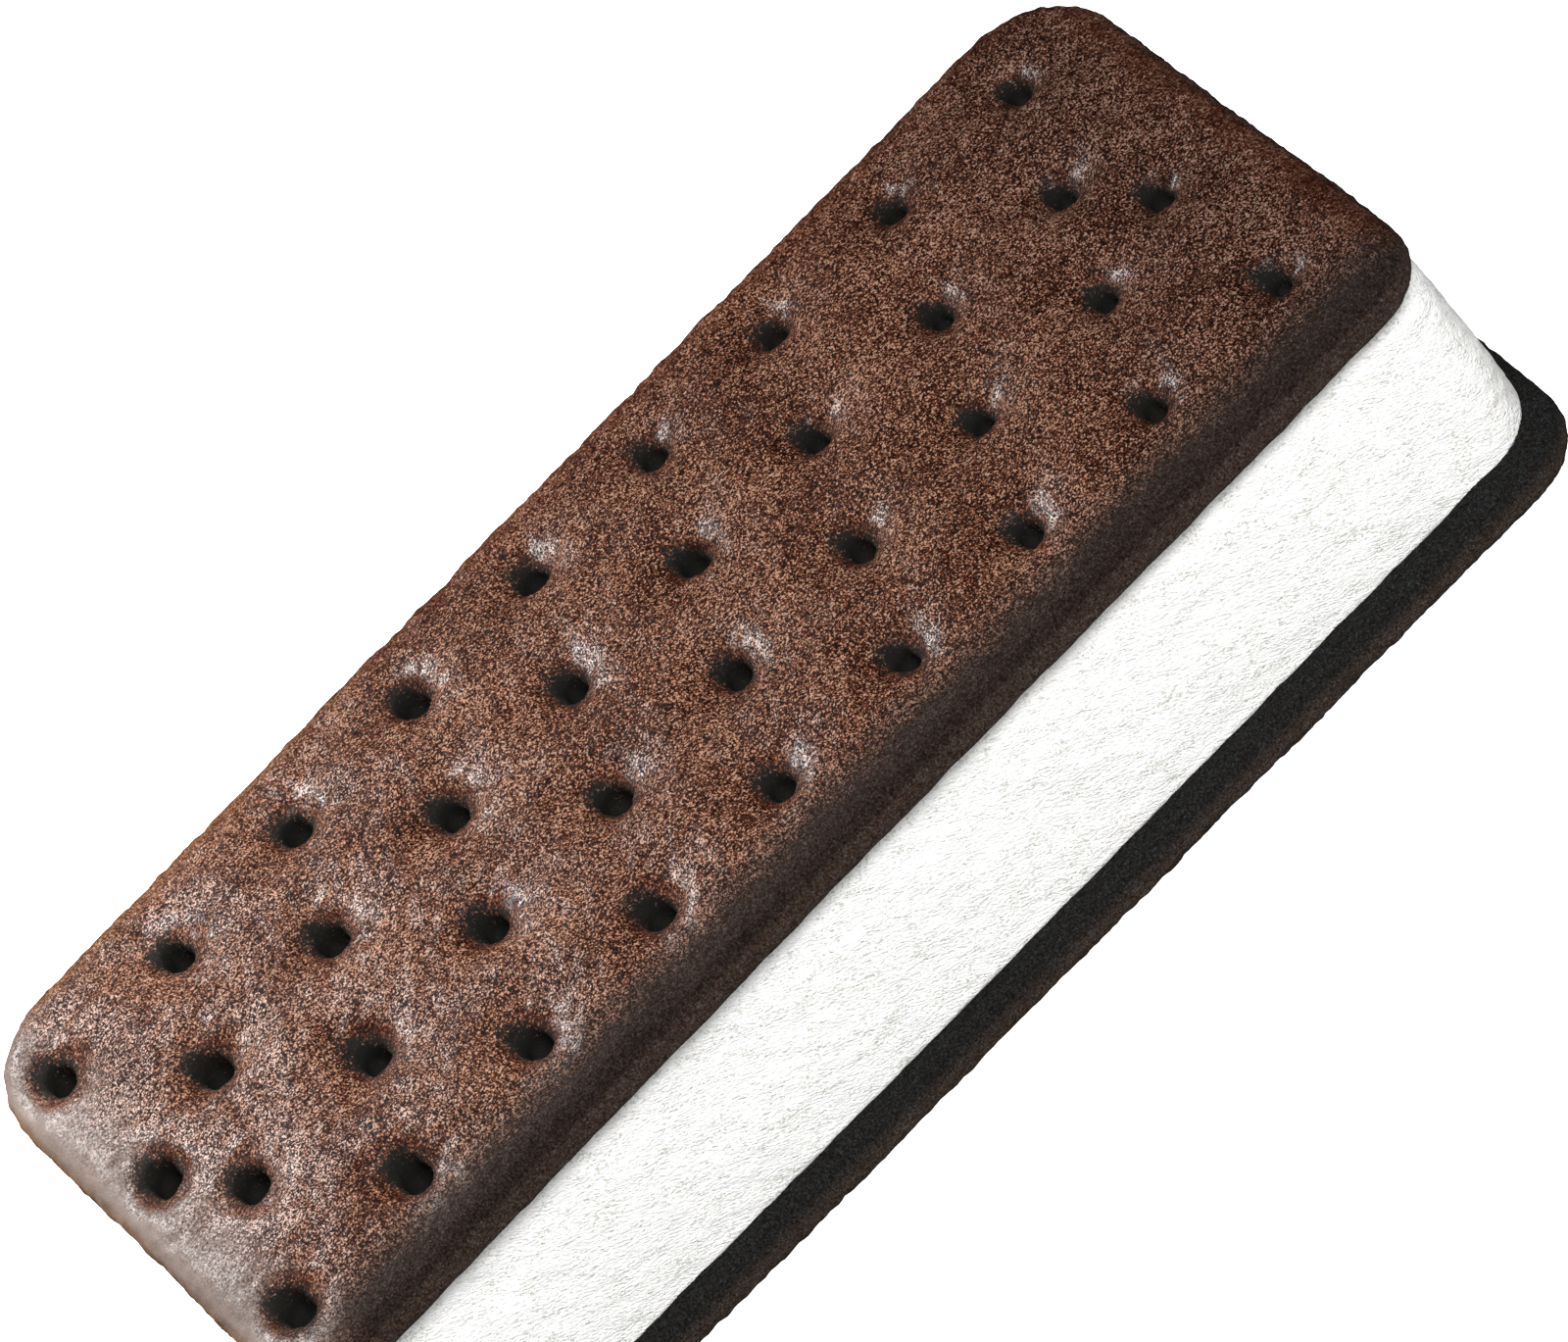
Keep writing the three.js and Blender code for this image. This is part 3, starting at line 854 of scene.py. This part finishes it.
class SANDWICH_OT_bake_wafers(bpy.types.Operator):
    """Models both docked wafers over their solids"""

    bl_idname = "sandwich.bake_wafers"
    bl_label = "Bake Wafers"

    def execute(self, context):
        settings = context.scene.sandwich_wafers
        self.bake_upper(settings)
        self.bake_lower(settings)
        return {"FINISHED"}

    def bake(self, name, settings, puff, flip, seed):
        """A docked wafer at the origin, its baked face up."""
        chance = random.Random(seed)
        wafer = round_wafer(settings, puff, flip)
        wafer.name = name
        wafer.data.name = name
        puff_and_dimple(wafer, settings, puff, chance)
        punch_holes(wafer, settings, chance)
        remesh(wafer, FINE)
        apply_modifier(wafer, "SMOOTH", factor=0.5, iterations=3)
        mark_points(wafer, settings)
        pick(wafer)
        return wafer

    def bake_upper(self, settings):
        wafer = self.bake("baked_wafer_upper", settings, settings.puff, 1, UPPER_SEED)
        wafer.rotation_euler = (0, 0, settings.upper_turn)
        wafer.location = (UPPER_MIDDLE.x, UPPER_MIDDLE.y, UPPER_HIGH.z - settings.thickness)
        bpy.ops.object.transform_apply(location=True, rotation=True, scale=True)
        bpy.ops.object.mode_set(mode="EDIT")
        select_parts(wafer, "VERT", lambda vert: vert.co.x < UPPER_LOW.x + DROOP_EDGE)
        pull((0, 0, -settings.droop), settings.length / 2, "SHARP")
        leave_edit_mode()
        crumble(wafer, 1, settings=settings, **UPPER_WAVES)
        merge_hidden_faces(wafer, hidden_inside(wafer, 1, settings))
        finish = wafer_finish("cocoa_crust", tuple(settings.crust), UPPER_RIM_SHADE_AND_LIGHT, 1)
        finish_piece(wafer, "wafer_top", finish)

    def bake_lower(self, settings):
        wafer = self.bake(
            "baked_wafer_lower", settings, settings.pressed_puff, -1, LOWER_SEED)
        wafer.rotation_euler = (math.pi, 0, settings.lower_turn)
        wafer.location = (LOWER_MIDDLE.x, LOWER_MIDDLE.y, LOWER_LOW.z + settings.thickness)
        bpy.ops.object.transform_apply(location=True, rotation=True, scale=True)
        crumble(wafer, -1, settings=settings, **LOWER_WAVES)
        bpy.ops.object.mode_set(mode="EDIT")
        select_parts(wafer, "VERT", lambda vert: vert.co.z < 0)
        bpy.ops.transform.resize(value=(1, 1, 0), center_override=(0, 0, 0))
        leave_edit_mode()
        merge_hidden_faces(wafer, hidden_inside(wafer, -1, settings))
        finish = wafer_finish("damp_and_shaded_cocoa_crust", tuple(settings.damp_and_shaded_crust), LOWER_RIM_SHADE_AND_LIGHT, 0)
        finish_piece(wafer, "wafer_bottom", finish)


# The ice cream

CREAM_VOXEL = 0.33 * MM
HIDDEN_EDGE = 3 * MM


class SANDWICH_OT_freeze_block(bpy.types.Operator):
    """Models the block of ice cream over its solid"""

    bl_idname = "sandwich.freeze_block"
    bl_label = "Freeze Block"

    def execute(self, context):
        settings = context.scene.sandwich_cream
        reach = Vector((0, 0, settings.overlap))
        bulge = Vector((settings.bulge, settings.bulge, 0))
        low = CREAM_LOW - reach + bulge
        high = CREAM_HIGH + reach - bulge
        block = add_block("frozen_block", low, high)
        bpy.ops.object.mode_set(mode="EDIT")
        for x in (low.x, high.x):
            for y in (low.y, high.y):
                round_corner(block, (x, y), settings.corner)
        round_rim(block, high.z, settings.brow, 5)
        remesh(block, CREAM_VOXEL)
        self.swell(block, low, high, settings)
        self.tear(block, settings)
        merge_hidden_faces(
            block,
            lambda face: abs(face.normal.z) > 0.9
            and low.x + HIDDEN_EDGE < face.calc_center_median().x < high.x - HIDDEN_EDGE
            and low.y + HIDDEN_EDGE < face.calc_center_median().y < high.y - HIDDEN_EDGE)
        finish_piece(block, "ice_cream", cream_finish(settings))
        return {"FINISHED"}

    def swell(self, block, low, high, settings):
        """Lets the sides bulge most at half height."""
        middle = (low.z + high.z) / 2
        half = (high.z - low.z) / 2
        girth = make_group(
            block, "girth",
            lambda vertex: (1 - abs(vertex.normal.z))
            * (1 - ((vertex.co.z - middle) / half) ** 2))
        apply_modifier(
            block, "DISPLACE", strength=settings.bulge, vertex_group=girth, mid_level=0)

    def tear(self, block, settings):
        """Roughens the sides with slow lumps and with wrinkles that run down on a slant."""
        side = make_group(block, "side", lambda vertex: 1 - abs(vertex.normal.z))
        bpy.ops.object.empty_add(rotation=(0, WRINKLE_TILT, 0))
        slant = bpy.context.active_object
        slant.scale = WRINKLE_STRETCH
        bpy.context.view_layer.update()
        roughen(block, "CLOUDS", grain=9 * MM, depth=0.5 * MM, group=side, noise_depth=1)
        roughen(
            block, "CLOUDS", grain=1.0 * MM, depth=settings.wrinkle, group=side, coords=slant,
            noise_depth=2)
        bpy.data.objects.remove(slant)


# The stage, the light and the camera

AIM = Vector((5.32, 5.52, 14.5)) * MM
CAMERA_DISTANCE = 920.97 * MM
CAMERA_BEARING = math.radians(-4.98)
CAMERA_ELEVATION = math.radians(42.11)
CAMERA_ROLL = math.radians(-42.01)
CAMERA_LENS = 274.94
SENSOR_WIDTH = 36.0
FLOOR_SIZE = 6.0
FLOOR_LEVEL = -0.02 * MM  # just clear of the lower wafer
KEY_PLACE = Vector((-99, 178, 177)) * MM
KEY_TARGET = Vector((-59, 0, 29)) * MM
KEY_SPREAD = math.radians(71)
KEY_SIZE = (0.09, 0.09)
FRONT_BEARING = math.radians(12)
FRONT_DISTANCE = 0.6
LOW_ELEVATION = math.radians(15)
LOW_SIZE = (0.5, 0.12)
HIGH_ELEVATION = math.radians(55)
HIGH_SIZE = (0.4, 0.22)
ROOM_LIGHT = (0.12, 0.12, 0.125, 1)  # what the walls give to the sandwich
BACKDROP = (0.95, 0.95, 0.95, 1)  # and what the camera sees past the floor


def direction(bearing, elevation):
    """The way from the sandwich to a place, by its bearing from -Y towards +X and its height."""
    level = math.cos(elevation)
    return Vector((level * math.sin(bearing), -level * math.cos(bearing), math.sin(elevation)))


def add_area_light(name, place, target, size, power):
    bpy.ops.object.light_add(type="AREA", location=place)
    lamp = bpy.context.active_object
    lamp.name = name
    lamp.rotation_euler = (target - place).to_track_quat("-Z", "Y").to_euler()
    lamp.data.shape = "RECTANGLE"
    lamp.data.size, lamp.data.size_y = size
    lamp.data.energy = power
    lamp.visible_camera = False
    return lamp


class SANDWICH_OT_set_stage(bpy.types.Operator):
    """Sets the floor, the light and the camera"""

    bl_idname = "sandwich.set_stage"
    bl_label = "Set Stage"

    def execute(self, context):
        settings = context.scene.sandwich_studio
        leave_edit_mode()
        bpy.ops.object.select_all(action="DESELECT")
        self.lay_floor(settings)
        self.light(settings)
        self.surround(context)
        self.aim_camera(context)
        return {"FINISHED"}

    def lay_floor(self, settings):
        bpy.ops.mesh.primitive_plane_add(size=FLOOR_SIZE, location=(0, 0, FLOOR_LEVEL))
        floor = bpy.context.active_object
        floor.name = "studio_floor"
        paper = Finish("floor_paper")
        grain = paper.noise(0.02)
        shade = tuple(settings.floor_shade)
        floor.data.materials.append(paper.surface(
            Base_Color=paper.mix(grain, shade, tinted(shade, 1.02)), Roughness=0.9,
            Emission_Color=(1.0, 1.0, 1.0), Emission_Strength=settings.floor_glow))
        floor.visible_diffuse = False
        floor.visible_glossy = False

    def light(self, settings):
        key = add_area_light(
            "key_light", KEY_PLACE, KEY_TARGET, KEY_SIZE, settings.key_power)
        key.data.spread = KEY_SPREAD
        low = AIM + FRONT_DISTANCE * direction(FRONT_BEARING, LOW_ELEVATION)
        add_area_light("low_front_light", low, AIM, LOW_SIZE, settings.low_power)
        high = AIM + FRONT_DISTANCE * direction(FRONT_BEARING, HIGH_ELEVATION)
        add_area_light("high_front_light", high, AIM, HIGH_SIZE, settings.high_power)

    def surround(self, context):
        """A dim room round the sandwich, which the camera sees as a pale backdrop."""
        world = bpy.data.worlds.new("studio")
        context.scene.world = world
        world.use_nodes = True
        tree = world.node_tree
        tree.nodes.clear()
        room = tree.nodes.new("ShaderNodeBackground")
        room.inputs["Color"].default_value = ROOM_LIGHT
        seen = tree.nodes.new("ShaderNodeBackground")
        seen.inputs["Color"].default_value = BACKDROP
        path = tree.nodes.new("ShaderNodeLightPath")
        choose = tree.nodes.new("ShaderNodeMixShader")
        output = tree.nodes.new("ShaderNodeOutputWorld")
        tree.links.new(path.outputs["Is Camera Ray"], choose.inputs["Fac"])
        tree.links.new(room.outputs[0], choose.inputs[1])
        tree.links.new(seen.outputs[0], choose.inputs[2])
        tree.links.new(choose.outputs[0], output.inputs["Surface"])
        context.scene.view_settings.view_transform = "Standard"

    def aim_camera(self, context):
        towards = direction(CAMERA_BEARING, CAMERA_ELEVATION)
        bpy.ops.object.camera_add(location=AIM + CAMERA_DISTANCE * towards)
        camera = bpy.context.active_object
        camera.name = "camera"
        turn = (-towards).to_track_quat("-Z", "Y").to_matrix().to_4x4()
        camera.rotation_euler = (turn @ Matrix.Rotation(CAMERA_ROLL, 4, "Z")).to_euler()
        camera.data.lens = CAMERA_LENS
        camera.data.sensor_width = SENSOR_WIDTH
        camera.data.sensor_fit = "HORIZONTAL"
        camera.data.clip_end = 20
        context.scene.camera = camera


class SANDWICH_PT_panel(bpy.types.Panel):
    """The pieces of the sandwich"""

    bl_idname = "SANDWICH_PT_panel"
    bl_label = "Ice Cream Sandwich"
    bl_space_type = "VIEW_3D"
    bl_region_type = "UI"
    bl_category = "Sandwich"

    def draw(self, context):
        for operator in OPERATORS:
            self.layout.operator(operator.bl_idname)


OPERATORS = (SANDWICH_OT_bake_wafers, SANDWICH_OT_freeze_block, SANDWICH_OT_set_stage)
SETTINGS = {
    "sandwich_wafers": WaferSettings,
    "sandwich_cream": CreamSettings,
    "sandwich_studio": StudioSettings,
}


def register():
    for group in SETTINGS.values():
        bpy.utils.register_class(group)
    for operator in OPERATORS:
        bpy.utils.register_class(operator)
    bpy.utils.register_class(SANDWICH_PT_panel)
    for name, group in SETTINGS.items():
        setattr(bpy.types.Scene, name, bpy.props.PointerProperty(type=group))


def unregister():
    for name in SETTINGS:
        delattr(bpy.types.Scene, name)
    bpy.utils.unregister_class(SANDWICH_PT_panel)
    for operator in reversed(OPERATORS):
        bpy.utils.unregister_class(operator)
    for group in reversed(SETTINGS.values()):
        bpy.utils.unregister_class(group)


def main():
    register()
    bpy.ops.sandwich.bake_wafers()
    bpy.ops.sandwich.freeze_block()
    bpy.ops.sandwich.set_stage()


if __name__ == "__main__":
    main()
